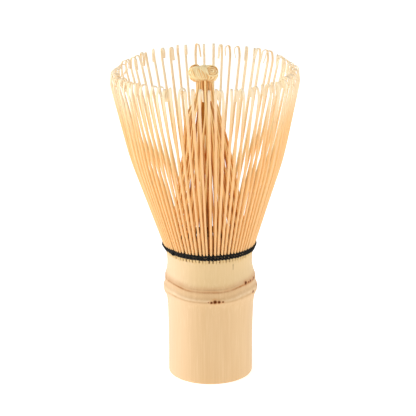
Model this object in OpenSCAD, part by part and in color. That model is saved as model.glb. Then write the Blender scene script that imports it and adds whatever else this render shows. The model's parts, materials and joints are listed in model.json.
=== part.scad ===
// Bamboo tea whisk. One length of bamboo culm is the handle. Its upper part is split into eighty wide
// outer tines with curled tips, which flare into a crown, and eighty narrow inner tines between them,
// which close to a cone whose ends are wound into a bundle. Two turns of thread, woven in front of and
// behind the outer tines, hold the two rings apart.
// The origin is at the middle of the cut base, and +Z runs up the handle.

/* [Overall] */
// Height from the cut base to the top of the curled tips
whisk_h = 105; // [98:1:116]

/* [Culm handle] */
// Radius of the cut base
culm_r = 14; // [13:0.1:15]
// Radius of the natural hollow
bore_r = 10.5; // [9:0.1:11]
// Height at which the splits between the tines start
split_z = 42.7; // [42:0.1:44]
// Height of the nodal ridge
ridge_z = 29.7; // [27:0.1:31]
// How far the nodal ridge stands out
ridge_h = 0.8; // [0.4:0.1:1.4]
// Height of the scar line above the ridge
scar_z = 33.5; // [32.5:0.1:34.5]
// How far the edge of the scar stands out
scar_h = 0.4; // [0.2:0.1:0.8]
// Thickness of the diaphragm inside the node
diaphragm_t = 1.8; // [1:0.1:3]
// Radius of the rounding round the cut base
base_round = 0.6; // [0.3:0.1:1.2]

/* [Outer tines] */
// Outer tines in each comb
tines_per_comb = 5; // [3:1:5]
// Width of an outer tine at its root
outer_w = 0.75; // [0.5:0.05:0.85]
// Width of an outer tine at its tip
outer_tip_w = 0.45; // [0.3:0.05:0.6]
// Thickness of an outer tine at its root
outer_t = 0.85; // [0.6:0.05:1]
// Thickness of an outer tine at its tip
outer_tip_t = 0.26; // [0.2:0.02:0.4]
// Flare of the lower crown from the vertical, in degrees
low_flare = 18.3; // [16:0.1:20]
// Flare of the upper crown from the vertical, in degrees
high_flare = 12.3; // [10:0.1:14]
// Radius of the crook at the end of each tine
crook_r = 1.25; // [1:0.05:1.6]
// Length of the free end that hangs from the crook
tail_len = 2.4; // [1:0.1:3]

/* [Inner tines] */
// Width of an inner tine at its root
inner_w = 0.42; // [0.3:0.02:0.5]
// Width of an inner tine where it meets the bundle
inner_tip_w = 0.19; // [0.12:0.01:0.2]
// Thickness of an inner tine at its root
inner_t = 0.8; // [0.5:0.05:0.9]
// Thickness of an inner tine where it meets the bundle
inner_tip_t = 0.3; // [0.2:0.02:0.4]
// Radius at the middle of the inner tines' roots
inner_root_r = 12.6; // [12.3:0.1:12.7]

/* [Bundle of inner ends] */
// Height of the middle of the bundle
bundle_z = 102.2; // [99:0.1:104]
// Radius of the bundle
bundle_r = 2.7; // [2:0.1:3]
// Length of the bundle from side to side
bundle_len = 9.4; // [8:0.1:11]
// Radius of the neck under the bundle
neck_r = 2.6; // [2.2:0.1:2.8]

/* [Binding thread] */
// Diameter of the thread
thread_d = 0.66; // [0.5:0.02:0.7]
// Height of the lower turn
lower_turn_z = 44.15; // [44:0.05:44.3]
// Height of the upper turn
upper_turn_z = 45; // [44.9:0.05:45.2]

/* [Hidden] */
COMBS = 16;
COMB_ANGLE = 360 / COMBS;
PITCH = COMB_ANGLE / tines_per_comb;
function two_digits(i) = str(i < 10 ? "0" : "", i);
function comb_name(kind, i) = str(kind, "_tines_", two_digits(i));
OUTER_NAMES = [for (i = [1 : COMBS]) comb_name("outer", i)];
INNER_NAMES = [for (i = [1 : COMBS]) comb_name("inner", i)];
$fn = 96;

// Outline of the culm
FOOT_SWELL = 0.5;       // the slow swelling of the culm towards its node
SWELL_REACH = 10;
RIDGE_REACH = 2;
SCAR_REACH = 1.3;
WAIST_Z = 38.5;         // the carved waist under the splits
WAIST_DEPTH = 0.4;
WAIST_REACH = 2.7;
FLARE_Z = 44;           // the culm opens again towards the splits
FLARE_H = 0.5;
FLARE_REACH = 1.6;
OUTLINE_STEP = 0.8;
function bump(z, middle, height, reach) = height * exp(-pow((z - middle) / reach, 2));
function culm_outline_r(z) = culm_r
    + bump(z, ridge_z + 1.6, FOOT_SWELL, SWELL_REACH)
    + bump(z, ridge_z, ridge_h, RIDGE_REACH)
    + bump(z, scar_z, scar_h, SCAR_REACH)
    - bump(z, WAIST_Z, WAIST_DEPTH, WAIST_REACH)
    + bump(z, FLARE_Z, FLARE_H, FLARE_REACH);
diaphragm_z = ridge_z + 0.2;

// A walk along a bent strip: each point is [r, z, heading], with the heading in degrees from the
// vertical, positive outwards. An arc turns from its start's heading to a new one.
ARC_STEPS = 10;
function ahead(p, len) = [p[0] + len * sin(p[2]), p[1] + len * cos(p[2]), p[2]];
function arc(p, radius, heading, steps) = let (turn = heading - p[2], s = sign(turn)) [
    for (i = [1 : steps]) let (h = p[2] + turn * i / steps) [
        p[0] + s * radius * (cos(p[2]) - cos(h)),
        p[1] + s * radius * (sin(h) - sin(p[2])),
        h
    ]
];
function last(points) = points[len(points) - 1];
function arc_rise(radius, from, to) = radius * abs(sin(to) - sin(from));

// Path of an outer tine
ROOT_GAP = 0.16;        // between the handle's top and a comb's root
ROOT_H = 0.65;
ROOT_MARGIN = 0.08;     // how far a comb's root stands out past its tines' faces
BEND_Z = 71;            // where the crown's flare starts to ease
BEND_R = 118;
SHOULDER_R = 8;         // the soft bend that leads into the crook
SHOULDER_HEADING = -15;
CROOK_HEADING = -176;
comb_z = split_z + ROOT_GAP;
outer_root_r = culm_outline_r(split_z) - outer_t / 2;
crook_rise = crook_r * (1 - sin(-SHOULDER_HEADING));
shoulder_z = whisk_h - outer_tip_t / 2 - crook_rise - arc_rise(SHOULDER_R, high_flare, SHOULDER_HEADING);
out_0 = ahead([outer_root_r, comb_z, low_flare], ROOT_H / 2);
out_1 = ahead(out_0, (BEND_Z - out_0[1]) / cos(low_flare));
out_bend = arc(out_1, BEND_R, high_flare, 5);
out_2 = ahead(last(out_bend), (shoulder_z - last(out_bend)[1]) / cos(high_flare));
out_shoulder = arc(out_2, SHOULDER_R, SHOULDER_HEADING, 4);
out_crook = arc(last(out_shoulder), crook_r, CROOK_HEADING, ARC_STEPS);
out_tip = ahead(last(out_crook), tail_len);
OUTER_PATH = concat([out_0, out_1], out_bend, [out_2], out_shoulder, out_crook, [out_tip]);

// Path of an inner tine
LOW_LEAN = -9.3;        // the cone's lower slope
HIGH_LEAN = -17.5;      // its slope near the neck
LEAN_Z = 68;
LEAN_R = 125;
neck_z = bundle_z - bundle_r - 6.2;
in_0 = [inner_root_r, split_z + ROOT_H / 2, 0];
in_foot = arc(ahead(in_0, 2.3), 10, LOW_LEAN, 2);
in_1 = ahead(last(in_foot), (LEAN_Z - last(in_foot)[1]) / cos(LOW_LEAN));
in_lean = arc(in_1, LEAN_R, HIGH_LEAN, 5);
in_2 = ahead(last(in_lean), (neck_z - last(in_lean)[1]) / cos(HIGH_LEAN));
INNER_PATH = concat([in_0], in_foot, [in_1], in_lean, [in_2]);

// Thread
THREAD_GAP = 0.1;
function outer_face_r(z) = outer_root_r + (z - comb_z) * tan(low_flare) + outer_t / 2 / cos(low_flare);
function inner_face_r(z) = outer_face_r(z) - outer_t / cos(low_flare);

// Gap between neighbouring combs' roots
COMB_GAP = 0.25;
comb_edge = (COMB_GAP / 2) / culm_r * 180 / PI;

// The strip's outline on both sides of a path, thinning towards its end
function strip_outline(path, t0, t1) = let (
    n = len(path) - 1,
    half = [for (i = [0 : n]) (t1 + (t0 - t1) * pow(1 - i / n, 1.4)) / 2],
    side = function (i, s) [
        path[i][0] + s * half[i] * cos(path[i][2]),
        path[i][1] - s * half[i] * sin(path[i][2])
    ]
) concat([for (i = [0 : n]) side(i, 1)], [for (i = [n : -1 : 0]) side(i, -1)]);

// One tine in the XZ plane, cut from a strip that narrows with height
module tine(path, t0, t1, w0, w1) {
    top = max([for (p = path) p[1]]) + 1;
    foot = path[0][1] - 1;
    reach = max([for (p = path) p[0]]) + 2;
    intersection() {
        translate([0, w0, 0]) rotate([90, 0, 0])
            linear_extrude(2 * w0) polygon(strip_outline(path, t0, t1));
        rotate([90, 0, 90]) linear_extrude(reach)
            polygon([[-w0 / 2, foot], [w0 / 2, foot], [w1 / 2, top], [-w1 / 2, top]]);
    }
}

// A flat-sided arc of bamboo from azimuth a0 to a1, which joins the tines of a comb at their roots
module root_arc(r, t, a0, a1) {
    steps = 4;
    r_in = r - t / 2 - ROOT_MARGIN;
    r_out = r + t / 2 + ROOT_MARGIN;
    azimuths = [for (i = [0 : steps]) a0 + (a1 - a0) * i / steps];
    linear_extrude(ROOT_H) polygon(concat(
        [for (a = azimuths) r_out * [cos(a), sin(a)]],
        [for (i = [steps : -1 : 0]) r_in * [cos(azimuths[i]), sin(azimuths[i])]]
    ));
}

module culm_handle() {
    heights = [for (z = [base_round : OUTLINE_STEP : split_z]) z];
    outline = concat(
        [for (a = [0 : 30 : 90]) [culm_r - base_round * (1 - sin(a)), base_round * (1 - cos(a))]],
        [for (i = [1 : len(heights) - 1]) [culm_outline_r(heights[i]), heights[i]]],
        [[culm_outline_r(split_z), split_z]]
    );
    color("#ecc994") rotate_extrude() polygon(concat(
        [[0, diaphragm_z], [bore_r, diaphragm_z], [bore_r, 0]],
        outline,
        [[bore_r, split_z], [bore_r, diaphragm_z + diaphragm_t], [0, diaphragm_z + diaphragm_t]]
    ));
}

module outer_comb(i) {
    a0 = (i - 1) * COMB_ANGLE;
    color("#f6cf97") {
        for (k = [0 : tines_per_comb - 1])
            rotate([0, 0, a0 + (k + 0.5) * PITCH])
                tine(OUTER_PATH, outer_t, outer_tip_t, outer_w, outer_tip_w);
        translate([0, 0, comb_z])
            root_arc(outer_root_r, outer_t, a0 + comb_edge, a0 + COMB_ANGLE - comb_edge);
    }
}

module inner_comb(i) {
    a0 = (i - 1) * COMB_ANGLE;
    color("#eab06c") {
        for (k = [0 : tines_per_comb - 1])
            rotate([0, 0, a0 + (k + 1) * PITCH])
                tine(INNER_PATH, inner_t, inner_tip_t, inner_w, inner_tip_w);
        b0 = a0 + PITCH / 2;
        translate([0, 0, split_z])
            root_arc(inner_root_r, inner_t, b0 + comb_edge, b0 + COMB_ANGLE - comb_edge);
    }
}

module inner_tip_bundle() {
    BASE_GAP = 0.1;
    half = bundle_len / 2 - bundle_r;
    foot_z = neck_z + BASE_GAP;
    foot_r = in_2[0];
    neck_top = bundle_z - bundle_r / 2;
    color("#f6dcae") {
        translate([0, 0, bundle_z]) rotate([0, 90, 0]) {
            translate([0, 0, -half]) cylinder(r = bundle_r, h = 2 * half);
            for (s = [-1, 1]) translate([0, 0, s * half]) sphere(r = bundle_r);
        }
        rotate_extrude() polygon([
            [0, foot_z], [foot_r, foot_z], [neck_r, foot_z + (neck_top - foot_z) * 0.6],
            [neck_r, neck_top], [0, neck_top]
        ]);
    }
}

// One turn of the weave: a strand in front of the outer tines and a strand behind them
module thread_turn(z) {
    r = thread_d / 2;
    away = (r + THREAD_GAP) / cos(low_flare);
    color("#24211c") for (ring_r = [outer_face_r(z) + away, inner_face_r(z) - away])
        rotate_extrude() translate([ring_r, z]) circle(r = r, $fn = 24);
}

culm_handle();
for (i = [1 : COMBS])
    outer_comb(i);
for (i = [1 : COMBS])
    inner_comb(i);
inner_tip_bundle();
thread_turn(lower_turn_z);  // binding_thread_lower
thread_turn(upper_turn_z);  // binding_thread_upper
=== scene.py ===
"""Looks of the bamboo tea whisk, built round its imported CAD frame.

The handle, the eighty outer tines, the eighty inner tines, the wound bundle of their ends and the woven
thread are each made here as detailed meshes. Lengths are in millimetres until a mesh is made.
"""

import math
import random

import bmesh
import bpy
import numpy as np
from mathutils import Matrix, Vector

import json


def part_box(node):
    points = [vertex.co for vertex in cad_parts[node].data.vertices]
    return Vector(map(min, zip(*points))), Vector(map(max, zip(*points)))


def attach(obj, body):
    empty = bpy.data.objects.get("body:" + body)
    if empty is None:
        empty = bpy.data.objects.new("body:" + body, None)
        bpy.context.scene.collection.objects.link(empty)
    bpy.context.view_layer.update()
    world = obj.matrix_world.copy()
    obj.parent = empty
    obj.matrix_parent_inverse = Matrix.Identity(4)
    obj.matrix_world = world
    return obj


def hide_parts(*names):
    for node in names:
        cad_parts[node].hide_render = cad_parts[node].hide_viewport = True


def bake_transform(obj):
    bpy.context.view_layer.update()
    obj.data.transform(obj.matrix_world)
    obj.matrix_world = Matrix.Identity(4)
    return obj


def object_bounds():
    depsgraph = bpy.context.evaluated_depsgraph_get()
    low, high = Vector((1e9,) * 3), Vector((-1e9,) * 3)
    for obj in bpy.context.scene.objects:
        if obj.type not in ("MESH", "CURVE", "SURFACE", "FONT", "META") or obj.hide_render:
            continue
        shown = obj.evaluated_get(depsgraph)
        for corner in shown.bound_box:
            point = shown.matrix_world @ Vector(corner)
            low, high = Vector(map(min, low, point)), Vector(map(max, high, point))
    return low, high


MM = 0.001
ROOT_BODY = "whisk_body"

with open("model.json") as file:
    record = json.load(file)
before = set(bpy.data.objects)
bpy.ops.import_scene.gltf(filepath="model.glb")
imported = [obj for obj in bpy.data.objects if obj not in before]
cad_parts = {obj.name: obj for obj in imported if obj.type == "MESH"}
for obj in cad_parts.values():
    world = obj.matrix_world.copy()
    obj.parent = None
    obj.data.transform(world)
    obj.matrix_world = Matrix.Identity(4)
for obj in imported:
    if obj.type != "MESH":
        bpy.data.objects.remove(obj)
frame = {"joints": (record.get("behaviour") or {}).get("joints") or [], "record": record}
cad_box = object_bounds()
bore_mount = next(m for m in frame["record"]["mounts"] if m["name"] == "handle_bore")

# Sizes taken from the frame
COMBS = len(frame["joints"])
TINES_PER_COMB = 5
TINES = COMBS * TINES_PER_COMB
PITCH = 2 * math.pi / TINES
WHISK_H = cad_box[1].z / MM
HANDLE_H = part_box("culm_handle")[1].z / MM
BORE_R = bore_mount["dims"]["r_mm"]
DIAPHRAGM_Z = bore_mount["dims"]["length_mm"]
THREAD_ROWS = {
    name: sum(corner.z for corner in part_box(name)) / 2 / MM
    for name in ("binding_thread_lower", "binding_thread_upper")
}
BUNDLE_LOW, BUNDLE_HIGH = (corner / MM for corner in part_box("inner_tip_bundle"))

# The whisk leans a little to one side, and its tips stand closer at the sides than at the back
LEAN = 0.026              # sideways shift for each unit of height
LEAN_FROM_Z = 28.0
SPARSE_AT = math.radians(100)
SPARSE_ONCE = 0.115       # the spacing is wider by this share at the back, and narrower at the front
SPARSE_TWICE = 0.15       # it is wider by this share at the back and front, and narrower at the sides

dice = random.Random(92)


# ---------------------------------------------------------------- small tools


def smooth(x):
    """0 before 0, 1 after 1, and a soft step between."""
    x = np.clip(x, 0.0, 1.0)
    return x * x * (3 - 2 * x)


def unit(v):
    v = np.asarray(v, float)
    return v / np.linalg.norm(v)


def turned(v, axis, angle):
    """v turned about a unit axis."""
    c, s = math.cos(angle), math.sin(angle)
    return v * c + np.cross(axis, v) * s + axis * np.dot(axis, v) * (1 - c)


def leaned(points):
    """Points moved over as the whisk leans."""
    points = np.array(points, float)
    points[:, 0] -= LEAN * np.clip(points[:, 2] - LEAN_FROM_Z, 0, None)
    return points


class Shape:
    """Vertices and faces of one piece, with values kept on each vertex for its material."""

    def __init__(self):
        self.points, self.faces = [], []
        self.values = {"tint": [], "along": [], "inside": []}

    def add(self, points, faces, **values):
        """values: a number for the whole of this part, or one for each of its points."""
        base = sum(len(p) for p in self.points)
        self.points.append(np.asarray(points, float))
        self.faces += [[base + i for i in f] for f in faces]
        for key, parts in self.values.items():
            parts.append(np.broadcast_to(values.get(key, 0.0), len(points)))

    def piece(self, name, material, sharp_deg=40):
        """The scene's object: smooth, apart from edges sharper than sharp_deg."""
        mesh = bpy.data.meshes.new(name)
        points = np.concatenate(self.points) * MM
        mesh.from_pydata(points.tolist(), [], self.faces)
        work = bmesh.new()
        work.from_mesh(mesh)
        bmesh.ops.recalc_face_normals(work, faces=work.faces)
        work.to_mesh(mesh)
        work.free()
        mesh.polygons.foreach_set("use_smooth", [True] * len(mesh.polygons))
        mesh.set_sharp_from_angle(angle=math.radians(sharp_deg))
        for key, parts in self.values.items():
            layer = mesh.attributes.new(key, "FLOAT", "POINT")
            layer.data.foreach_set("value", np.concatenate(parts).astype(np.float32))
        mesh.materials.append(material)
        mesh.validate()
        obj = bpy.data.objects.new(name, mesh)
        bpy.context.scene.collection.objects.link(obj)
        return obj


def tube_faces(rings, sides, closed=False):
    """Quads between rings of points, with end caps unless the tube closes on itself."""
    faces = []
    for i in range(rings if closed else rings - 1):
        a, b = i * sides, (i + 1) % rings * sides
        faces += [[a + k, a + (k + 1) % sides, b + (k + 1) % sides, b + k] for k in range(sides)]
    if not closed:
        faces.append(list(range(sides - 1, -1, -1)))
        faces.append([(rings - 1) * sides + k for k in range(sides)])
    return faces


STRIP_SIDES = 8
STRIP_INSIDE = (0.7, 0.35, 0.0, 0.0, 0.35, 0.7, 1.0, 1.0)    # 0 on the outer face, 1 on the inner one; by it the materials paint the sides and inside as painted shade or painted light


def strip_mesh(points, sides, widths, thicknesses, bevel=0.24):
    """A flat strip with bevelled edges along points. sides are unit vectors across its width."""
    points, sides = np.asarray(points, float), np.asarray(sides, float)
    tangents = np.gradient(points, axis=0)
    tangents /= np.linalg.norm(tangents, axis=1)[:, None]
    sides = sides - np.sum(sides * tangents, axis=1)[:, None] * tangents
    sides /= np.linalg.norm(sides, axis=1)[:, None]
    outward = np.cross(sides, tangents)
    ring = []
    for i in range(len(points)):
        w, t = widths[i] / 2, thicknesses[i] / 2
        c = 2 * bevel * min(w, t)
        corners = [
            (w, -t + c), (w, t - c), (w - c, t), (-w + c, t),
            (-w, t - c), (-w, -t + c), (-w + c, -t), (w - c, -t),
        ]
        ring += [points[i] + x * sides[i] + y * outward[i] for x, y in corners]
    return np.array(ring), tube_faces(len(points), STRIP_SIDES)


def tube_mesh(points, radius, sides=10, lobes=0, lobe_depth=0.0, twist_pitch=1.0, closed=False):
    """A tube along points. With lobes its section is that many plies, turning once in twist_pitch."""
    points = np.asarray(points, float)
    n = len(points)
    if closed:
        tangents = np.roll(points, -1, axis=0) - np.roll(points, 1, axis=0)
    else:
        tangents = np.gradient(points, axis=0)
    tangents /= np.linalg.norm(tangents, axis=1)[:, None]
    up = np.array([0.0, 0.0, 1.0])
    across = np.cross(tangents, up)
    across /= np.linalg.norm(across, axis=1)[:, None]
    over = np.cross(across, tangents)
    steps = np.linalg.norm(np.diff(points, axis=0, append=points[:1]), axis=1)
    travel = np.concatenate([[0.0], np.cumsum(steps)[:-1]])
    if closed:
        turns = round(travel[-1] / twist_pitch)
        turn = travel / (travel[-1] + steps[-1]) * turns * 2 * math.pi
    else:
        turn = travel / twist_pitch * 2 * math.pi
    ring = []
    for i in range(n):
        for k in range(sides):
            a = 2 * math.pi * k / sides
            r = radius * (1 + lobe_depth * math.cos(lobes * a)) if lobes else radius
            b = a + turn[i]
            ring.append(points[i] + r * (math.cos(b) * across[i] + math.sin(b) * over[i]))
    return np.array(ring), tube_faces(n, sides, closed)


# ---------------------------------------------------------------- materials


class Nodes:
    """Short calls for building a procedural material."""

    def __init__(self, name):
        self.material = bpy.data.materials.new(name)
        self.material.use_nodes = True
        self.tree = self.material.node_tree
        self.shader = self.tree.nodes["Principled BSDF"]
        self.where = self.new("ShaderNodeTexCoord").outputs["Object"]

    def new(self, kind, **settings):
        node = self.tree.nodes.new(kind)
        for key, value in settings.items():
            setattr(node, key, value)
        return node

    def put(self, socket, value):
        if isinstance(value, bpy.types.NodeSocket):
            self.tree.links.new(value, socket)
        else:
            socket.default_value = value

    def math(self, operation, a, b=0.0, clamp=False):
        node = self.new("ShaderNodeMath", operation=operation, use_clamp=clamp)
        self.put(node.inputs[0], a)
        self.put(node.inputs[1], b)
        return node.outputs[0]

    def between(self, value, low, high, to_low=0.0, to_high=1.0):
        """Goes softly from to_low to to_high as value goes from low to high."""
        node = self.new("ShaderNodeMapRange", clamp=True, interpolation_type="SMOOTHSTEP")
        for socket, x in zip(node.inputs[:5], (value, low, high, to_low, to_high)):
            self.put(socket, x)
        return node.outputs[0]

    def mix(self, share, a, b, blend="MIX"):
        node = self.new("ShaderNodeMix", data_type="RGBA", blend_type=blend)
        colour = [s for s in node.inputs if s.type == "RGBA"]
        self.put(node.inputs["Factor"], share)
        self.put(colour[0], a)
        self.put(colour[1], b)
        return next(s for s in node.outputs if s.type == "RGBA")

    def stretched(self, x, y, z):
        """Object coordinates scaled on each axis: less than 1 draws the pattern out along it."""
        node = self.new("ShaderNodeMapping")
        self.put(node.inputs["Vector"], self.where)
        node.inputs["Scale"].default_value = (x, y, z)
        return node.outputs[0]

    def noise(self, vector, scale=1.0, detail=3.0, roughness=0.5):
        node = self.new("ShaderNodeTexNoise")
        self.put(node.inputs["Vector"], vector)
        node.inputs["Scale"].default_value = scale
        node.inputs["Detail"].default_value = detail
        node.inputs["Roughness"].default_value = roughness
        return node.outputs[0]

    def axis(self, name):
        node = self.new("ShaderNodeSeparateXYZ")
        self.put(node.inputs[0], self.where)
        return node.outputs[name]

    def kept(self, name):
        """A value that Shape kept on the vertices."""
        return self.new("ShaderNodeAttribute", attribute_name=name).outputs["Fac"]

    def near(self, point_mm, radius_mm, soft=0.5):
        """1 within radius of a point, fading to 0 outside it."""
        node = self.new("ShaderNodeVectorMath", operation="DISTANCE")
        self.put(node.inputs[0], self.where)
        node.inputs[1].default_value = [v * MM for v in point_mm]
        low, high = radius_mm * (1 - soft) * MM, radius_mm * (1 + soft) * MM
        return self.between(node.outputs["Value"], low, high, 1.0, 0.0)

    def bump(self, height, strength, distance_mm):
        node = self.new("ShaderNodeBump")
        node.inputs["Strength"].default_value = strength
        node.inputs["Distance"].default_value = distance_mm * MM
        self.put(node.inputs["Height"], height)
        self.put(self.shader.inputs["Normal"], node.outputs[0])

    def finish(self, colour, roughness, specular=None):
        self.put(self.shader.inputs["Base Color"], colour)
        self.put(self.shader.inputs["Roughness"], roughness)
        if specular is not None:
            self.shader.inputs["Specular IOR Level"].default_value = specular
        return self.material


# Colours of the stem
STEM_DEEP = (0.685, 0.45, 0.222, 1)
STEM_PALE = (0.715, 0.478, 0.243, 1)
STREAK = (0.66, 0.42, 0.20, 1)
ABOVE_SCAR = (0.71, 0.505, 0.245, 1)
PAINTED_LIT_SIDE = (0.75, 0.535, 0.335, 1)
NODE_BAND = (0.60, 0.37, 0.17, 1)
PALE_FIBRE = (0.88, 0.68, 0.43, 1)
SCAR_HALO = (0.54, 0.27, 0.10, 1)
SCAR_BROWN = (0.36, 0.14, 0.035, 1)
SCAR_LIP = (0.46, 0.25, 0.11, 1)
RIDGE_GLINT = (0.90, 0.71, 0.45, 1)
RIDGE_LINE = (0.50, 0.27, 0.11, 1)
STAIN = (0.62, 0.26, 0.07, 1)
PIT = (0.11, 0.022, 0.002, 1)

# Marks on the stem
SCAR_Z = 32.6
RIDGE_LINE_Z = 29.4
NODE_BAND_Z = (28.4, 30, 33, 35.5)      # fades in between the first two heights, out between the last two
PAINTED_LIT_SIDE_X = (-13.8, -1.5)              # the left side, painted paler as painted light from the lamps on the left, and where that ends
CRACK_X, CRACK_WIDTH = 7.3, 0.24
CRACK_Z = (38.9, 39.6, 41.0, 42.0)      # fades in and out like the node's band
STAIN_REACH = 1.7                       # radius of the stain round a pit, against the pit's
SPOTS = [     # dark pits: azimuth in degrees, height and radius in mm
    (271.2, 29.35, 0.42), (275.6, 29.55, 0.62), (280.5, 29.5, 0.50), (285.3, 29.45, 0.32), (267.5, 29.4, 0.2),
    (322.0, 34.0, 0.60), (327.5, 33.85, 0.34), (332.5, 33.9, 0.44), (338.0, 33.85, 0.36), (344.0, 33.9, 0.46),
    (335.0, 30.0, 0.42), (354.0, 30.05, 0.75), (315.0, 33.6, 0.26),
]


def culm_material():
    """Dry bamboo skin: fine fibres along the stem, a brown scar line and dark pits at the node."""
    n = Nodes("bamboo_culm")
    fibres = n.noise(n.stretched(1, 1, 0.02), 2600, 4.0, 0.6)
    streaks = n.noise(n.stretched(1, 1, 0.05), 420, 3.0, 0.55)
    patches = n.noise(n.stretched(1, 1, 0.25), 95, 2.0, 0.5)
    broken = n.noise(n.stretched(1, 1, 1), 330, 4.0, 0.65)
    blotches = n.noise(n.stretched(1, 1, 1.5), 120, 3.0, 0.6)
    level = n.kept("along")
    to_side = n.between(n.math("ABSOLUTE", n.axis("X")), 3 * MM, 12 * MM)

    colour = n.mix(n.between(patches, 0.35, 0.65), STEM_DEEP, STEM_PALE)
    colour = n.mix(n.math("MULTIPLY", n.between(streaks, 0.35, 0.7), 0.4), colour, STREAK)
    above = n.between(level, SCAR_Z - 0.2, SCAR_Z + 2.5)
    colour = n.mix(n.math("MULTIPLY", above, 0.75), colour, ABOVE_SCAR)
    # painted light: the left side is painted paler, where the lamps on the left fall
    painted_lit_side = n.between(n.axis("X"), PAINTED_LIT_SIDE_X[0] * MM, PAINTED_LIT_SIDE_X[1] * MM, 0.6, 0.0)
    colour = n.mix(painted_lit_side, colour, PAINTED_LIT_SIDE)
    low_in, low_full, high_full, high_out = NODE_BAND_Z
    band = n.math("MULTIPLY", n.between(level, low_in, low_full), n.between(level, high_out, high_full))
    colour = n.mix(n.math("MULTIPLY", band, 0.6), colour, NODE_BAND)
    pale = n.math("MULTIPLY", n.between(fibres, 0.45, 0.8), 0.3)
    colour = n.mix(pale, colour, PALE_FIBRE)

    def line(at, width):
        """A broken line round the stem at one height."""
        off = n.math("ABSOLUTE", n.math("SUBTRACT", level, at))
        inside = n.between(off, 0.0, width, 1.0, 0.0)
        return n.math("MULTIPLY", inside, n.between(broken, 0.3, 0.7, 0.35, 1.0))

    halo = n.math("MULTIPLY", line(SCAR_Z + 0.7, 1.5), n.between(blotches, 0.35, 0.65, 0.25, 0.9))
    halo = n.math("MULTIPLY", halo, n.between(to_side, 0, 1, 0.45, 1.0))
    colour = n.mix(halo, colour, SCAR_HALO)
    scar = n.math("MULTIPLY", line(SCAR_Z, 0.62), n.between(to_side, 0, 1, 0.7, 1.0))
    colour = n.mix(scar, colour, SCAR_BROWN)
    lip = n.math("MULTIPLY", line(SCAR_Z + 0.85, 0.4), n.between(to_side, 0, 1, 0.5, 0.1))
    colour = n.mix(lip, colour, SCAR_LIP)
    glint = n.math("MULTIPLY", line(RIDGE_LINE_Z + 0.45, 0.55), 0.5)
    colour = n.mix(glint, colour, RIDGE_GLINT)
    ridge = n.math("MULTIPLY", line(RIDGE_LINE_Z - 0.15, 0.42), 0.75)
    colour = n.mix(ridge, colour, RIDGE_LINE)

    spots, stains = 0.0, 0.0
    for azimuth, height, radius in SPOTS:
        a = math.radians(azimuth)
        r = culm_r(height - node_rise(a, height))
        place = leaned([[r * math.cos(a), r * math.sin(a), height]])[0]
        spots = n.math("MAXIMUM", spots, n.near(place, radius, 0.5))
        stains = n.math("MAXIMUM", stains, n.near(place, STAIN_REACH * radius, 0.5))
    colour = n.mix(n.math("MULTIPLY", stains, 0.6), colour, STAIN)
    off_crack = n.math("ABSOLUTE", n.math("SUBTRACT", n.axis("X"), CRACK_X * MM))
    crack = n.between(off_crack, 0, CRACK_WIDTH * MM, 1, 0)
    crack = n.math("MULTIPLY", crack, n.between(n.axis("Y"), -1 * MM, 0.0, 1, 0))
    low_in, low_full, high_full, high_out = CRACK_Z
    crack = n.math("MULTIPLY", crack, n.between(level, low_in, low_full))
    crack = n.math("MULTIPLY", crack, n.between(level, high_full, high_out, 1, 0))
    crack = n.math("MULTIPLY", crack, n.between(broken, 0.3, 0.5, 0.35, 0.8))
    dark = n.math("MAXIMUM", spots, crack)
    colour = n.mix(dark, colour, PIT)
    gloss = n.between(n.math("MAXIMUM", dark, scar), 0.0, 1.0, 0.5, 0.05)
    n.put(n.shader.inputs["Specular IOR Level"], gloss)
    height = n.math("ADD", n.math("MULTIPLY", fibres, 0.5), n.math("MULTIPLY", streaks, 0.5))
    n.bump(n.math("SUBTRACT", height, n.math("MULTIPLY", n.math("MAXIMUM", scar, dark), 0.8)), 0.5, 0.06)
    return n.finish(colour, n.between(fibres, 0.3, 0.8, 0.42, 0.58))


def strip_material(name, root, low, skin, tip, side, inner, tone_and_shade, tip_share=0.8, tone_and_shade_share=0.22):
    """Split bamboo: pale skin outside, other colours on the split sides and inside, shaved pale tips.

    root, low, skin and tip follow each other along the outer face. side and inner are the strip's other
    faces: darker than the skin they are painted shade between the strips, paler they are painted light.
    The last colour is what the tint value and the fibres mix in: a random tone, or painted shade where the
    tint follows a strand's depth or its height on the roll.
    """
    n = Nodes(name)
    along, tint, inside = n.kept("along"), n.kept("tint"), n.kept("inside")
    fibres = n.noise(n.stretched(1, 1, 0.04), 3200, 3.0, 0.6)
    colour = n.mix(n.between(along, 0.05, 0.5), low, skin)
    # the sides and inside: painted shade where darker than the skin, painted light where paler
    colour = n.mix(n.between(inside, 0.02, 0.4), colour, side)
    colour = n.mix(n.between(inside, 0.65, 1.0), colour, inner)
    reach = n.math("ADD", along, n.math("MULTIPLY", inside, 0.2))
    colour = n.mix(n.math("MULTIPLY", n.between(reach, 0.70, 0.98), tip_share), colour, tip)
    shade = n.math("MULTIPLY", n.between(tint, 0.0, 1.0), tone_and_shade_share)
    shade = n.math("ADD", shade, n.math("MULTIPLY", n.between(fibres, 0.5, 0.8), 0.15))
    colour = n.mix(shade, colour, tone_and_shade)
    colour = n.mix(n.between(along, 0.035, 0.055), root, colour)
    n.bump(fibres, 0.35, 0.03)
    return n.finish(colour, n.between(fibres, 0.3, 0.8, 0.5, 0.68), 0.2)


def thread_material():
    """Matt black cotton with a brownish cast and short fibres along the ply."""
    n = Nodes("black_thread")
    fuzz = n.noise(n.where, 5200, 4.0, 0.7)
    black, brownish = (0.003, 0.003, 0.003, 1), (0.016, 0.014, 0.011, 1)
    colour = n.mix(n.between(fuzz, 0.35, 0.75), black, brownish)
    n.bump(fuzz, 0.6, 0.05)
    return n.finish(colour, n.between(fuzz, 0.3, 0.8, 0.7, 0.9), 0.25)


FLOOR_GLOW = 0.52      # the floor is a pale light table, which keeps it white round the whisk


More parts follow.
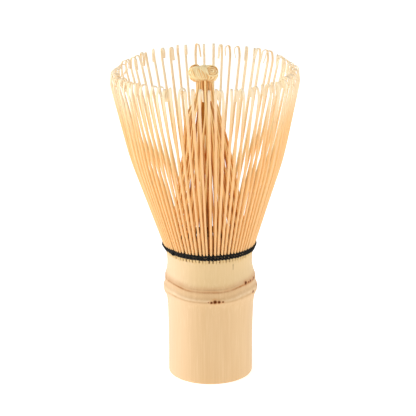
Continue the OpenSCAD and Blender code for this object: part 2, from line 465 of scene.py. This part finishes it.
def floor_material():
    n = Nodes("studio_floor")
    faint = n.noise(n.where, 9.0, 2.0)
    colour = n.mix(n.between(faint, 0.3, 0.7), (0.93, 0.93, 0.93, 1), (0.95, 0.95, 0.95, 1))
    n.shader.inputs["Emission Color"].default_value = (1, 1, 1, 1)
    n.shader.inputs["Emission Strength"].default_value = FLOOR_GLOW
    return n.finish(colour, 0.9, 0.1)


# ---------------------------------------------------------------- camera, light and floor

CAMERA_AT = (-0.85, -655.1, 267.6)
CAMERA_TILT = 17.84       # degrees that it looks down
CAMERA_LENS = 181.8
SKY = 0.48
LAMPS = {       # place in metres, size in metres, power in watts
    "key_left": ((-0.75, -0.45, 0.6), 0.6, 3.55),
    "sheen_left": ((-0.85, 0.1, 0.12), 0.45, 3.2),
    "fill_right": ((0.8, -0.1, 0.3), 0.5, 2.25),
}
LAMPS_AIM = (0, 0, 0.06)
FLOOR_SIZE = 6.0
BACKDROP_R = 2.95         # a low ring at the floor's edge, so that the floor has no horizon
BACKDROP_H = 0.32
BACKDROP_Z = 0.155


def stage():
    camera = bpy.data.objects.new("camera", bpy.data.cameras.new("camera"))
    camera.location = [v * MM for v in CAMERA_AT]
    camera.rotation_euler = (math.radians(90 - CAMERA_TILT), 0, 0)
    camera.data.lens = CAMERA_LENS
    camera.data.clip_start, camera.data.clip_end = 0.01, 20
    bpy.context.scene.collection.objects.link(camera)
    bpy.context.scene.camera = camera

    world = bpy.data.worlds.new("studio")
    bpy.context.scene.world = world
    world.use_nodes = True
    sky = world.node_tree.nodes["Background"]
    sky.inputs["Color"].default_value = (1.0, 1.0, 1.0, 1)
    sky.inputs["Strength"].default_value = SKY
    bpy.context.scene.view_settings.view_transform = "Standard"

    for name, (place, size, power) in LAMPS.items():
        data = bpy.data.lights.new(name, "AREA")
        data.size, data.energy = size, power
        lamp = bpy.data.objects.new(name, data)
        lamp.location = place
        lamp.rotation_euler = (Vector(LAMPS_AIM) - Vector(place)).to_track_quat("-Z", "Y").to_euler()
        bpy.context.scene.collection.objects.link(lamp)

    pale = floor_material()
    bpy.ops.mesh.primitive_plane_add(size=FLOOR_SIZE)
    bpy.context.object.name = "floor"
    bpy.ops.mesh.primitive_cylinder_add(
        vertices=96, radius=BACKDROP_R, depth=BACKDROP_H, end_fill_type="NOTHING",
        location=(0, 0, BACKDROP_Z),
    )
    bpy.context.object.name = "backdrop"
    for name in ("floor", "backdrop"):
        bpy.data.objects[name].data.materials.append(pale)


# ---------------------------------------------------------------- handle

CULM_R = 13.88
CULM_BUMPS = [      # middle, height and reach of each rise or dip of the outline
    (31.3, 0.5, 10),         # the whole node swells
    (29.4, 0.8, 1.1),        # the ridge
    (28.8, 0.4, 2.4),        # the slope below it
    (32.6, 0.58, 1.5),       # the scar's rim
    (37.6, -0.26, 2.5),      # the carved waist
    (44.0, 0.5, 1.6),        # the swell below the thread
]
WALL_TOP_Z = HANDLE_H - 0.35     # the splits start here
BASE_ROUND = 0.7
NODE_Z = 31.0
NODE_REACH = 4.5                 # the ripples round the node fade over this height
DIAPHRAGM_TOP = DIAPHRAGM_Z + 1.6
DIAPHRAGM_UNDER = DIAPHRAGM_Z + 0.4
HUB_R = 0.5                      # a fan of triangles closes the diaphragm's faces inside this


def bump_at(z, middle, height, reach):
    return height * np.exp(-(((z - middle) / reach) ** 2))


def culm_r(z):
    """The culm's outline, with the node's ridge and scar and the carved waist."""
    r = CULM_R
    for middle, height, reach in CULM_BUMPS:
        r = r + bump_at(z, middle, height, reach)
    return r


def scar_rise(azimuth):
    """How far the scar line lies above its lowest places, which are at the front and the back."""
    return 1.05 * smooth(np.sin(azimuth - math.radians(265)) ** 2 / 0.7) - 0.05


def node_rise(azimuth, z):
    """The scar line's rise, felt only near the node."""
    return scar_rise(azimuth) * smooth((z - 27.5) / 4.5) * smooth((41 - z) / 4)


def handle():
    """The hollow culm as one closed skin: outside, split top, both hollows, diaphragm and base."""
    columns = 288
    azimuth = np.linspace(0, 2 * math.pi, columns, endpoint=False)
    ripple = 0.07 * np.sin(3 * azimuth + 2.0) + 0.05 * np.sin(7 * azimuth)
    oval = 1 + 0.003 * np.cos(2 * azimuth - 1.1)
    fine = np.array([dice.gauss(0, 0.012) for _ in range(columns)])
    rows = []

    def ring(r, z, level=0.0):
        rows.append([np.broadcast_to(v, columns) for v in (r, z, level)])

    for a in np.radians((0, 22, 45, 68, 90)):
        ring((CULM_R - BASE_ROUND * (1 - math.sin(a))) * oval, BASE_ROUND * (1 - math.cos(a)))
    levels = np.concatenate([np.arange(2, 24, 2.0), np.arange(24, 37, 0.25), np.arange(37, WALL_TOP_Z, 0.6)])
    for z in levels:
        near_node = float(bump_at(z, NODE_Z, 1.0, NODE_REACH))
        level = z - node_rise(azimuth, z) - ripple * near_node
        groove = bump_at(level, SCAR_Z - 0.1, 0.20, 0.35) + bump_at(level, RIDGE_LINE_Z - 0.2, 0.12, 0.3)
        groove = groove + bump_at(level, SCAR_Z + 0.85, 0.05, 0.3)
        ring(culm_r(level) * oval - groove + fine * (1 + 2 * near_node), z, level)
    ring(culm_r(WALL_TOP_Z) * oval, WALL_TOP_Z, WALL_TOP_Z)
    ring(culm_r(WALL_TOP_Z) - 0.12, WALL_TOP_Z + 0.05, WALL_TOP_Z)
    ring(BORE_R + 0.25, WALL_TOP_Z + 0.05)
    ring(BORE_R, WALL_TOP_Z - 0.3)
    ring(BORE_R - 0.1, DIAPHRAGM_Z + 3.2)
    ring(BORE_R - 0.8, DIAPHRAGM_Z + 2.1)
    ring(BORE_R * 0.6, DIAPHRAGM_Z + 1.7)
    upper_hub = len(rows)
    ring(HUB_R, DIAPHRAGM_TOP)
    ring(HUB_R, DIAPHRAGM_UNDER)
    ring(BORE_R * 0.6, DIAPHRAGM_Z + 0.2)
    ring(BORE_R - 0.5, DIAPHRAGM_Z - 0.2)
    ring(BORE_R, DIAPHRAGM_Z - 1.2)
    ring(BORE_R, 0.4)
    ring(BORE_R + 0.4, 0.0)

    points = [np.stack([r * np.cos(azimuth), r * np.sin(azimuth), z], axis=1) for r, z, _ in rows]
    levels = np.concatenate([level for _, _, level in rows] + [[0.0, 0.0]])
    count = len(rows)
    faces = []
    for i in range(count):
        if i == upper_hub:
            continue       # the diaphragm's two faces are closed by fans below, not joined to each other
        a, b = i * columns, (i + 1) % count * columns
        faces += [
            [a + k, a + (k + 1) % columns, b + (k + 1) % columns, b + k] for k in range(columns)
        ]
    for row, z in ((upper_hub, DIAPHRAGM_TOP), (upper_hub + 1, DIAPHRAGM_UNDER)):
        hub = count * columns + (row - upper_hub)
        points.append(np.array([[0.0, 0.0, z]]))
        for k in range(columns):
            a, b = row * columns + k, row * columns + (k + 1) % columns
            faces.append([a, b, hub] if row == upper_hub else [b, a, hub])
    shape = Shape()
    shape.add(leaned(np.concatenate(points)), faces, along=levels)
    piece = shape.piece("handle_culm", culm_material(), 50)
    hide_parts("culm_handle")
    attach(piece, ROOT_BODY)


# ---------------------------------------------------------------- outer tines

ROOT_Z = 41.6
ROOT_IN = 0.05            # the roots' outer faces lie this far inside the culm's
ROOT_HEADING = 13.0       # degrees from upright: at the root, low on the crown and high on it
LOW_FLARE = 18.3
HIGH_FLARE = 12.3
ROOT_BEND_L = 2.2         # length of each stretch of a tine, from the root up
LOW_L = 27.5
EASE_L = 12.4
SHOULDER_L = 3.8
CROOK_R = 1.15
SIDE_SHARE = 0.63         # share of a tine's way sideways that its low stretch makes
TIP_ROUND = 0.15          # the curl's top stands this far above its middle line
OUTER_W = [      # width of an outer tine along it, from 0 at the root to 1 at the tip
    (0, 0.90), (0.025, 0.86), (0.06, 0.64), (0.3, 0.67), (0.5, 0.74), (0.7, 0.80), (0.9, 0.84), (1, 0.82),
]
OUTER_T = [      # its thickness
    (0, 0.85), (0.1, 0.88), (0.5, 0.98), (0.65, 0.78), (0.8, 0.52), (0.9, 0.27), (1, 0.20),
]


def level_of(table, u):
    """A value that goes from point to point of a short (place, value) table."""
    return np.interp(u, [p[0] for p in table], [p[1] for p in table])


def top_azimuth(azimuth):
    """Where the tine rooted at azimuth has its tip, with the crown sparser at its back."""
    off = azimuth - SPARSE_AT
    return azimuth + SPARSE_ONCE * math.sin(off) + SPARSE_TWICE / 2 * math.sin(2 * off)


def rim_drop(azimuth):
    """How far the tips stand below the highest ones: least at the back, most at the left."""
    def beside(degrees, reach, power):
        off = math.degrees(math.remainder(azimuth - math.radians(degrees), 2 * math.pi))
        return math.exp(-((abs(off) / reach) ** power))
    return 0.9 - 0.9 * beside(85, 50, 4) + 1.2 * beside(172, 38, 2)


def outer_segments(swing, crook, tail, sideways, wander):
    """[length, turn inwards, turn sideways, plane of the bend, steps] of each stretch of a tine.

    The fourth stretch's length is left open: outer_tine sets it, so that the tip comes to its height.
    """
    turn_in = math.radians(LOW_FLARE - HIGH_FLARE)
    crook_turn = math.radians(161 + dice.uniform(-14, 18))
    return [
        [ROOT_BEND_L, -math.radians(LOW_FLARE - ROOT_HEADING), 0.0, 0.0, 3],
        [LOW_L, math.radians(dice.gauss(0, 0.35)), swing, 0.0, 14],
        [EASE_L, turn_in, wander[0], 0.0, 6],
        [None, math.radians(dice.gauss(0, 0.5)), wander[1], 0.0, 8],
        [SHOULDER_L, math.radians(27), wander[2], sideways * 0.5, 6],
        [crook * crook_turn, crook_turn, 0.0, sideways, 14],
        [tail, math.radians(dice.uniform(-25, 30)), 0.0, sideways, 5],
    ]


def follow(start, tangent, side, segments):
    """Walks the segments and returns points, side vectors and travelled length."""
    point, points, sides, travel = np.array(start), [np.array(start)], [side], [0.0]
    for length, inward, sidewards, plane, steps in segments:
        for _ in range(steps):
            outward = np.cross(side, tangent)
            axis = unit(side * math.cos(plane) + outward * math.sin(plane))
            for a, angle in ((axis, -inward / steps), (outward, -sidewards / steps)):
                tangent, side = turned(tangent, a, angle), turned(side, a, angle)
            point = point + tangent * (length / steps)
            points.append(point)
            sides.append(side)
            travel.append(travel[-1] + length / steps)
    return np.array(points), np.array(sides), np.array(travel)


def outer_root_r():
    """Radius of an outer tine's middle line at its root."""
    return culm_r(ROOT_Z) - ROOT_IN - OUTER_T[0][1] / 2


def outer_tine(shape, index):
    azimuth = (index + 0.5) * PITCH + dice.gauss(0, 0.006)
    across = top_azimuth(azimuth) - azimuth + dice.gauss(0, 0.005)
    out = np.array([math.cos(azimuth), math.sin(azimuth), 0.0])
    side = np.array([-math.sin(azimuth), math.cos(azimuth), 0.0])
    heading = math.radians(ROOT_HEADING)
    tangent = math.cos(heading) * np.array([0, 0, 1.0]) + math.sin(heading) * out
    start = out * outer_root_r() + np.array([0, 0, ROOT_Z])
    swing = across * SIDE_SHARE
    wander = [dice.gauss(0, 0.003), dice.gauss(0, 0.004), dice.gauss(0, 0.012)]
    sideways = dice.gauss(0, 0.32)
    top_z = WHISK_H - TIP_ROUND - rim_drop(azimuth + across) + dice.gauss(0, 0.22)
    crook = CROOK_R * dice.uniform(0.85, 1.1)
    segments = outer_segments(swing, crook, dice.uniform(1.6, 3.6), sideways, wander)
    open_stretch = segments[3]
    open_stretch[0] = 0.001
    trial, _, _ = follow(start, tangent, side, segments)
    open_stretch[0] = (top_z - trial[:, 2].max()) / math.cos(math.radians(HIGH_FLARE))
    points, sides, travel = follow(start, tangent, side, segments)
    u = travel / travel[-1]
    width = level_of(OUTER_W, u) * dice.uniform(0.92, 1.08)
    thick = level_of(OUTER_T, u) * dice.uniform(0.9, 1.1)
    mesh, faces = strip_mesh(leaned(points), sides, width, thick)
    shape.add(
        mesh, faces, tint=dice.random(), along=np.repeat(u, STRIP_SIDES),
        inside=np.tile(STRIP_INSIDE, len(points)),
    )


def outer_combs(material):
    for comb in range(COMBS):
        shape = Shape()
        for k in range(TINES_PER_COMB):
            outer_tine(shape, comb * TINES_PER_COMB + k)
        label = f"{comb + 1:02d}"
        piece = shape.piece(f"outer_comb_{label}_tines", material)
        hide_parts(f"outer_tines_{label}")
        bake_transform(piece)


# ---------------------------------------------------------------- inner tines

NECK_Z = 96.5             # where the cone goes into the bundle
INNER_END_Z = 101.0
CLOSE_Z = 90.0            # the strands' points lie closer together above this
CONE = [      # height and radius of the cone's outline
    (42, 12.7), (45.5, 12.55), (52, 11.6), (60, 10.25), (68, 8.9), (75, 7.65), (81, 6.35),
    (87, 4.8), (91.5, 3.7), (95, 3.0), (98, 2.7), (101, 2.5),
]
INNER_W = [(0, 0.54), (0.5, 0.58), (0.75, 0.46), (0.88, 0.36), (1, 0.30)]
INNER_T = [(0, 0.5), (0.5, 0.36), (0.85, 0.28), (1, 0.24)]
CLUMPS = 16               # the strands gather towards this many places near the top
LAYER_DRIFT = 0.15        # radians that one layer of strands drifts one way, and the other layer the other
LAYER_DEPTHS = (0.25, -0.6)      # one layer lies just outside the cone's outline, the other inside it
GATHER_Z = (78, 14)       # the strands start to gather at this height, over this stretch
SWELL_Z = (76, 14)        # the left side starts to stand off here, over this stretch
SWELL_END_Z = (87, 12)    # and comes back here
LEFT_SWELL = 0.36         # the strands on the left stand off more below the bundle


def cone_r(z):
    """The cone's outline, with the corners of its short table rounded off."""
    return sum(level_of(CONE, z + shift) for shift in (-3, -1.5, 0, 1.5, 3)) / 5


def stretch(z, place):
    """0 below a height, and 1 once z is past the stretch above it."""
    low, length = place
    return smooth((z - low) / length)


def left_swell(z, a):
    """How much wider the cone is at this height and azimuth than its outline says."""
    below_bundle = stretch(z, SWELL_Z) * (1 - stretch(z, SWELL_END_Z))
    return LEFT_SWELL * below_bundle * np.maximum(0, -np.cos(a))


def inner_tine(shape, index, clump_at):
    azimuth = (index + 1) * PITCH + dice.gauss(0, 0.004)
    layer = index % 2
    drift = LAYER_DRIFT * (1 - 2 * layer) + dice.gauss(0, 0.045)
    target = min(clump_at, key=lambda c: abs(math.remainder(c - azimuth - drift, 2 * math.pi)))
    gather = math.remainder(target - azimuth - drift, 2 * math.pi) * dice.uniform(0.6, 1.0)
    z = np.concatenate([np.arange(ROOT_Z, CLOSE_Z, 1.8), np.arange(CLOSE_Z, INNER_END_Z, 0.8)])
    u = (z - ROOT_Z) / (INNER_END_Z - ROOT_Z)
    belly = np.sin(math.pi * np.clip(u * 1.05, 0, 1))
    wave = dice.uniform(-0.6, 0.6) * np.sin(2 * math.pi * u * dice.uniform(0.8, 1.5) + dice.uniform(0, 6))
    depth = LAYER_DEPTHS[layer] + dice.gauss(0, 0.2)
    r = cone_r(z) + depth * smooth(u / 0.5) * np.minimum(1, cone_r(z) / 5)
    r = r * (1 - dice.uniform(-0.03, 0.55) * smooth((u - 0.8) / 0.2))
    a = azimuth + drift * smooth((u - 0.3) / 0.5) + wave * belly / np.maximum(r, 3)
    a = a + gather * stretch(z, GATHER_Z)
    r = r * (1 + left_swell(z, a))
    points = np.stack([r * np.cos(a), r * np.sin(a), z], axis=1)
    sides = np.stack([-np.sin(a), np.cos(a), np.zeros(len(a))], axis=1)
    width = level_of(INNER_W, u) * dice.uniform(0.85, 1.15)
    thick = level_of(INNER_T, u) * dice.uniform(0.9, 1.1)
    mesh, faces = strip_mesh(leaned(points), sides, width, thick)
    # painted shade: strands that lie deeper inside the cone get more of the darker tint
    shape.add(
        mesh, faces, tint=min(max(0.3 - 0.9 * depth, 0.0), 1.0), along=np.repeat(u, STRIP_SIDES),
        inside=np.tile(STRIP_INSIDE, len(points)),
    )


def inner_combs(material):
    clump_at = [2 * math.pi * (k + dice.uniform(-0.28, 0.28)) / CLUMPS for k in range(CLUMPS)]
    for comb in range(COMBS):
        shape = Shape()
        for k in range(TINES_PER_COMB):
            inner_tine(shape, comb * TINES_PER_COMB + k, clump_at)
        label = f"{comb + 1:02d}"
        piece = shape.piece(f"inner_comb_{label}_tines", material)
        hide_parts(f"inner_tines_{label}")
        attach(piece, ROOT_BODY)


# ---------------------------------------------------------------- wound bundle of the inner ends

BUN_PLUMP = 1.08          # the wound roll is thicker than the CAD one by this factor
BUN_R = BUN_PLUMP * (BUNDLE_HIGH.y - BUNDLE_LOW.y) / 2
BUN_Z = BUNDLE_HIGH.z - BUN_R
BUN_HALF = (BUNDLE_HIGH.x - BUNDLE_LOW.x) / 2 - BUN_R
BUN_FACE_TILT = math.radians(18)
BUN_BLUNT = 2.5           # 2 would make its ends half spheres
BUN_SHIFT = -0.4          # the roll sits a little off the cone's tip

# Places on the roll's front and back are (across, up) from its middle
COIL_AT = (2.85, 0.72)
COIL_R = 2.08
COIL_STEP = 0.70          # each loop starts this much further in
COIL_TIGHTEN = 0.40       # and ends this much tighter than it starts
COIL_SWEEP = math.radians(318)
COIL_FLAT = 0.9
COIL_TINTS = (0.0, 0.5, 0.15)


def bun_radius(x):
    """Radius of the wound roll at x: round ends, and a dip right of the middle."""
    over = max(0.0, abs(x) - BUN_HALF)
    end = max(0.0, 1 - (over / BUN_R) ** BUN_BLUNT) ** (1 / BUN_BLUNT)
    return BUN_R * end * (1 - 0.09 * math.exp(-(((x - 0.9) / 0.8) ** 2)))


def on_bun(x, turn, sink=0.0):
    """A point on the roll: turn 0 is the top, a quarter turn the front."""
    x = max(-BUN_HALF - BUN_R * 0.985, min(BUN_HALF + BUN_R * 0.985, x))
    r = bun_radius(x) - sink
    return (x, -r * math.sin(turn), BUN_Z + r * math.cos(turn))


def on_bun_face(p, q, lift, way):
    """A point p across and q up on the roll's front, seen from a little above. way -1 is its back."""
    p = max(-BUN_HALF - BUN_R * 0.97, min(BUN_HALF + BUN_R * 0.97, p))
    r = bun_radius(p) + lift
    q = max(-0.985 * r, min(0.985 * r, q))
    d = math.sqrt(r * r - q * q)
    c, s = math.cos(BUN_FACE_TILT), math.sin(BUN_FACE_TILT)
    return (way * p, way * (q * s - d * c), BUN_Z + d * s + q * c)


def bezier(start, control, end, count=26):
    """Points of a curve from start to end, drawn towards control."""
    t = np.linspace(0, 1, count)[:, None]
    a, b, c = (np.array(v, float) for v in (start, control, end))
    return (1 - t) ** 2 * a + 2 * t * (1 - t) * b + t**2 * c


class Bundle:
    """The roll of thin ends, wound strand by strand."""

    def __init__(self):
        self.shape = Shape()

    def strand(self, points, width, tint=None):
        """A thin strip along points, tapered at its ends, with painted shade that makes it darker low on the
        roll.
        """
        points = leaned(points) + np.array([BUN_SHIFT, 0, 0])
        away = points - leaned([[BUN_SHIFT, 0, BUN_Z]])[0]
        away[:, 0] *= 0.35
        sides = np.cross(np.gradient(points, axis=0), away)
        taper = 0.55 + 0.45 * np.sin(np.linspace(0.15, math.pi - 0.15, len(points)))
        mesh, faces = strip_mesh(points, sides, width * taper, 0.72 * width * taper, 0.42)
        tint = 0.35 * dice.random() ** 2 if tint is None else tint
        # painted shade: darker towards the roll's underside
        low = 0.65 * smooth((BUN_Z - 0.3 - points[:, 2]) / 2.6)
        self.shape.add(
            mesh, faces, tint=np.repeat(np.clip(tint + low, 0, 1), STRIP_SIDES), along=1.0,
            inside=np.tile(STRIP_INSIDE, len(points)),
        )

    def face_strand(self, flat, width, lift, way, tint=None):
        """A strand over the front or back face, with its ends tucked in."""
        share = np.linspace(0, 1, len(flat))
        tuck = 0.5 * (smooth((0.14 - share) / 0.14) + smooth((share - 0.86) / 0.14))
        points = [on_bun_face(p, q, lift - dive, way) for (p, q), dive in zip(flat, tuck)]
        self.strand(points, width, tint)

    def turns(self, count=30):
        """Slanting turns round the whole roll, seen on its top, ends and underside."""
        for i in range(count):
            share = i / (count - 1)
            x = -BUN_HALF - BUN_R * 0.86 + share * (2 * BUN_HALF + BUN_R * 1.72)
            slant = 0.15 + 0.9 * math.exp(-(((share - 0.5) / 0.28) ** 2))
            start, span = dice.uniform(-0.6, 0.2), dice.uniform(5.2, 6.6)
            sink = 0.50 + dice.uniform(-0.10, 0.10)
            path = []
            for k in range(34):
                t = k / 33
                a = start + span * t
                dive = 0.5 * (smooth((t - 0.86) / 0.14) + smooth((0.1 - t) / 0.1))
                path.append(on_bun(x - slant * math.cos(a) + 0.12 * math.sin(2 * a + i), a, sink + dive))
            self.strand(path, dice.uniform(0.50, 0.68), 0.2 + 0.5 * dice.random())

    def fan(self, way, count=9):
        """Strands from the top that bulge round the left lobe, then run straight in the middle."""
        for i in range(count):
            share = i / (count - 1)
            bulge = -7.9 + 8.4 * share**0.85 + dice.uniform(-0.15, 0.15)
            top = (-1.9 + 1.7 * share, 2.5 + dice.uniform(-0.1, 0.1))
            foot = (-1.5 + 2.7 * share**1.4, -2.5 + 0.25 * share)
            lift = -0.04 + dice.uniform(-0.08, 0.08) - 0.12 * (i % 2)
            self.face_strand(bezier(top, (bulge, 0.5), foot), dice.uniform(0.60, 0.74), lift, way)

    def coil(self, way):
        """The right lobe: three loops in a curl, over strands that run down to the neck."""
        for start, control, end in (
            ((4.7, 0.9), (4.9, -2.0), (1.9, -2.6)),
            ((4.3, 0.2), (4.2, -2.3), (1.6, -2.5)),
            ((3.4, -0.4), (3.0, -2.0), (1.4, -2.3)),
            ((2.3, -0.4), (2.1, -1.6), (1.3, -2.2)),
        ):
            self.face_strand(bezier(start, control, end), 0.62, -0.22, way, 0.2)
        for i, tint in enumerate(COIL_TINTS):
            loop = []
            first = math.radians(168 - 10 * i + dice.uniform(-8, 8))
            for k in range(40):
                t = k / 39
                a = first - t * COIL_SWEEP
                rho = COIL_R - COIL_STEP * i - COIL_TIGHTEN * t
                loop.append((COIL_AT[0] + rho * math.cos(a), COIL_AT[1] + COIL_FLAT * rho * math.sin(a)))
            self.face_strand(loop, 0.54, 0.08 + 0.06 * i, way, tint)
        for i in range(3):
            start, end = (0.3 + 0.35 * i, 2.4 - 0.2 * i), (1.2 + 0.4 * i, -0.2 - 0.5 * i)
            self.face_strand(bezier(start, (0.5 + 0.3 * i, 1.0), end), 0.6, -0.02, way)

    def shadow_strands(self, way):
        """Thin dark strands laid in the gaps of the middle and of the left lobe as painted shadow."""
        for start, control, end in (
            ((-1.9, 1.9), (-1.1, 0.6), (-0.4, -1.8)),
            ((-0.9, 1.3), (0.2, 0.1), (0.6, -1.7)),
            ((-3.3, 1.9), (-3.6, 0.3), (-2.4, -1.4)),
        ):
            self.face_strand(bezier(start, control, end), 0.26, 0.22, way, 1.0)


def wound_bundle(material):
    """The roll of thin ends: a fan on the left, slanting strands in the middle, a curl on the right."""
    wound = Bundle()
    wound.turns()
    for way in (1, -1):
        wound.fan(way)
        wound.coil(way)
        wound.shadow_strands(way)
    piece = wound.shape.piece("wound_tip_bundle", material, 60)
    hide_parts("inner_tip_bundle")
    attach(piece, ROOT_BODY)


def bundle_core(material):
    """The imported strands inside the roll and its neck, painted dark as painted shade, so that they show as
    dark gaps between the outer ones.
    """
    core = Shape()
    rings, columns = 22, 28
    points = []
    for i in range(rings):
        x = -math.cos(math.pi * (i + 0.5) / rings) * (BUN_HALF + BUN_R * 0.85)
        for k in range(columns):
            a = 2 * math.pi * k / columns
            points.append(on_bun(x, a, 0.7 + 0.05 * math.sin(5 * a + 2 * x)))
    core.add(leaned(points) + np.array([BUN_SHIFT, 0, 0]), tube_faces(rings, columns), inside=1.0)
    neck, neck_columns = [], 20
    heights = np.linspace(NECK_Z - 16, BUN_Z, 12)
    for z in heights:
        r = cone_r(z) * 0.62 * float(smooth((z - NECK_Z + 17) / 12))
        for k in range(neck_columns):
            a = 2 * math.pi * k / neck_columns
            neck.append((r * math.cos(a), r * math.sin(a), z))
    core.add(leaned(neck), tube_faces(len(heights), neck_columns), inside=1.0)
    piece = core.piece("bundle_core", material, 60)
    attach(piece, ROOT_BODY)


# ---------------------------------------------------------------- thread

THREAD_R = 0.45
STRAND_SIDES = 12
PLIES = 3
PLY_DEPTH = 0.12          # how deep the ply's furrows are, against the strand's radius
PLY_PITCH = 1.3
WEAVE_REACH = 0.62        # how far the strands swing in front of and behind a tine's middle
CROWN_SLOPE = math.tan(math.radians(LOW_FLARE))
LOW_TURN_DROP = 0.12      # the lower turn lies this far below its CAD ring
KNOT_AT = math.radians(218)      # the thread's ends are tied here
SQUEEZE_AT = KNOT_AT - 0.55      # the two turns lie closer together here, beside the knot
SQUEEZE = 0.2
KNOT_R = 0.3
KNOT_TURNS = 2.75
KNOT_SPAN = 0.055         # radians


def tine_middle_r(z):
    """Radius of an outer tine's middle line at height z, just above its root's bend."""
    return outer_root_r() + 0.45 + (z - ROOT_Z - 2.1) * CROWN_SLOPE


def thread_row(name, z, toward_middle, knot, material):
    """Two strands twined round the tines: each passes in front of one tine and behind the next.

    toward_middle is 1 where the other turn lies above this one, and -1 where it lies below.
    """
    shape = Shape()
    steps = TINES * 10
    for hand in (1, -1):
        path = []
        for i in range(steps):
            a = 2 * math.pi * i / steps
            wave = math.sin(TINES / 2 * a)
            swing = hand * math.copysign(abs(wave) ** 0.55, wave)
            lift = hand * 0.13 * math.cos(TINES / 2 * a) + 0.05 * math.sin(5 * a + z)
            lift += 0.04 * math.sin(23 * a + z)
            beside = math.exp(-((math.remainder(a - SQUEEZE_AT, 2 * math.pi) / 0.45) ** 4))
            lift += toward_middle * SQUEEZE * beside
            r = tine_middle_r(z) + WEAVE_REACH * swing + 0.05 * math.sin(11 * a + 3 * z)
            path.append((r * math.cos(a), r * math.sin(a), z + lift))
        mesh, faces = tube_mesh(
            leaned(path), THREAD_R, STRAND_SIDES, PLIES, PLY_DEPTH, PLY_PITCH, closed=True,
        )
        shape.add(mesh, faces)
    if knot:
        path = []       # nearly three small turns round both strands
        for t in np.linspace(0, 1, 60):
            a, turn = KNOT_AT + KNOT_SPAN * (t - 0.5), t * KNOT_TURNS * 2 * math.pi
            r = tine_middle_r(z) + WEAVE_REACH + 0.12 + 0.34 * math.cos(turn)
            path.append((r * math.cos(a), r * math.sin(a), z + 0.38 + 0.72 * math.sin(turn)))
        mesh, faces = tube_mesh(leaned(path), KNOT_R)
        shape.add(mesh, faces)
    piece = shape.piece(name + "_weave", material, 80)
    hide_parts(name)
    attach(piece, ROOT_BODY)


# ---------------------------------------------------------------- the whole object

stage()
handle()
outer = strip_material(
    "bamboo_outer_tine",
    root=ABOVE_SCAR,
    low=(0.83, 0.50, 0.235, 1),
    skin=(0.89, 0.55, 0.275, 1),
    tip=(0.96, 0.845, 0.62, 1),
    # painted light: the split sides and the inner face are painted paler than the skin, standing for light
    # that reaches them between the tines
    side=(0.97, 0.635, 0.28, 1),
    inner=(1.0, 0.88, 0.52, 1),
    tone_and_shade=(0.84, 0.42, 0.12, 1),
    tip_share=0.95,
)
inner = strip_material(
    "bamboo_inner_tine",
    root=(0.60, 0.36, 0.15, 1),
    low=(0.86, 0.50, 0.19, 1),
    skin=(0.96, 0.64, 0.28, 1),
    tip=(0.99, 0.80, 0.42, 1),
    # painted shade: the split sides and the inside are painted darker, standing for the shade between the
    # strips
    side=(0.91, 0.44, 0.10, 1),
    inner=(0.76, 0.25, 0.03, 1),
    tone_and_shade=(0.83, 0.34, 0.07, 1),
    tip_share=0.7,
    tone_and_shade_share=0.6,
)
tips = strip_material(
    "bamboo_tip",
    **dict.fromkeys(("root", "low", "skin", "tip"), (1.0, 0.86, 0.53, 1)),
    # painted shade: the split sides and the inside are painted darker, standing for the shade between the
    # strands
    side=(1.0, 0.70, 0.28, 1),
    inner=(0.86, 0.42, 0.10, 1),
    tone_and_shade=(0.86, 0.44, 0.10, 1),
    tip_share=0.0,
    tone_and_shade_share=0.7,
)
# painted shade: the core is painted dark to stand for the shade deep in the roll and the neck
core = strip_material(
    "bamboo_core_painted_shade",
    **dict.fromkeys(("root", "low", "skin", "tip"), (0.64, 0.26, 0.04, 1)),
    side=(0.62, 0.24, 0.04, 1),
    inner=(0.60, 0.23, 0.03, 1),
    tone_and_shade=(0.46, 0.15, 0.02, 1),
)
outer_combs(outer)
inner_combs(inner)
wound_bundle(tips)
bundle_core(core)
thread = thread_material()
low_turn, high_turn = THREAD_ROWS
thread_row(low_turn, THREAD_ROWS[low_turn] - LOW_TURN_DROP, 1, True, thread)
thread_row(high_turn, THREAD_ROWS[high_turn], -1, False, thread)
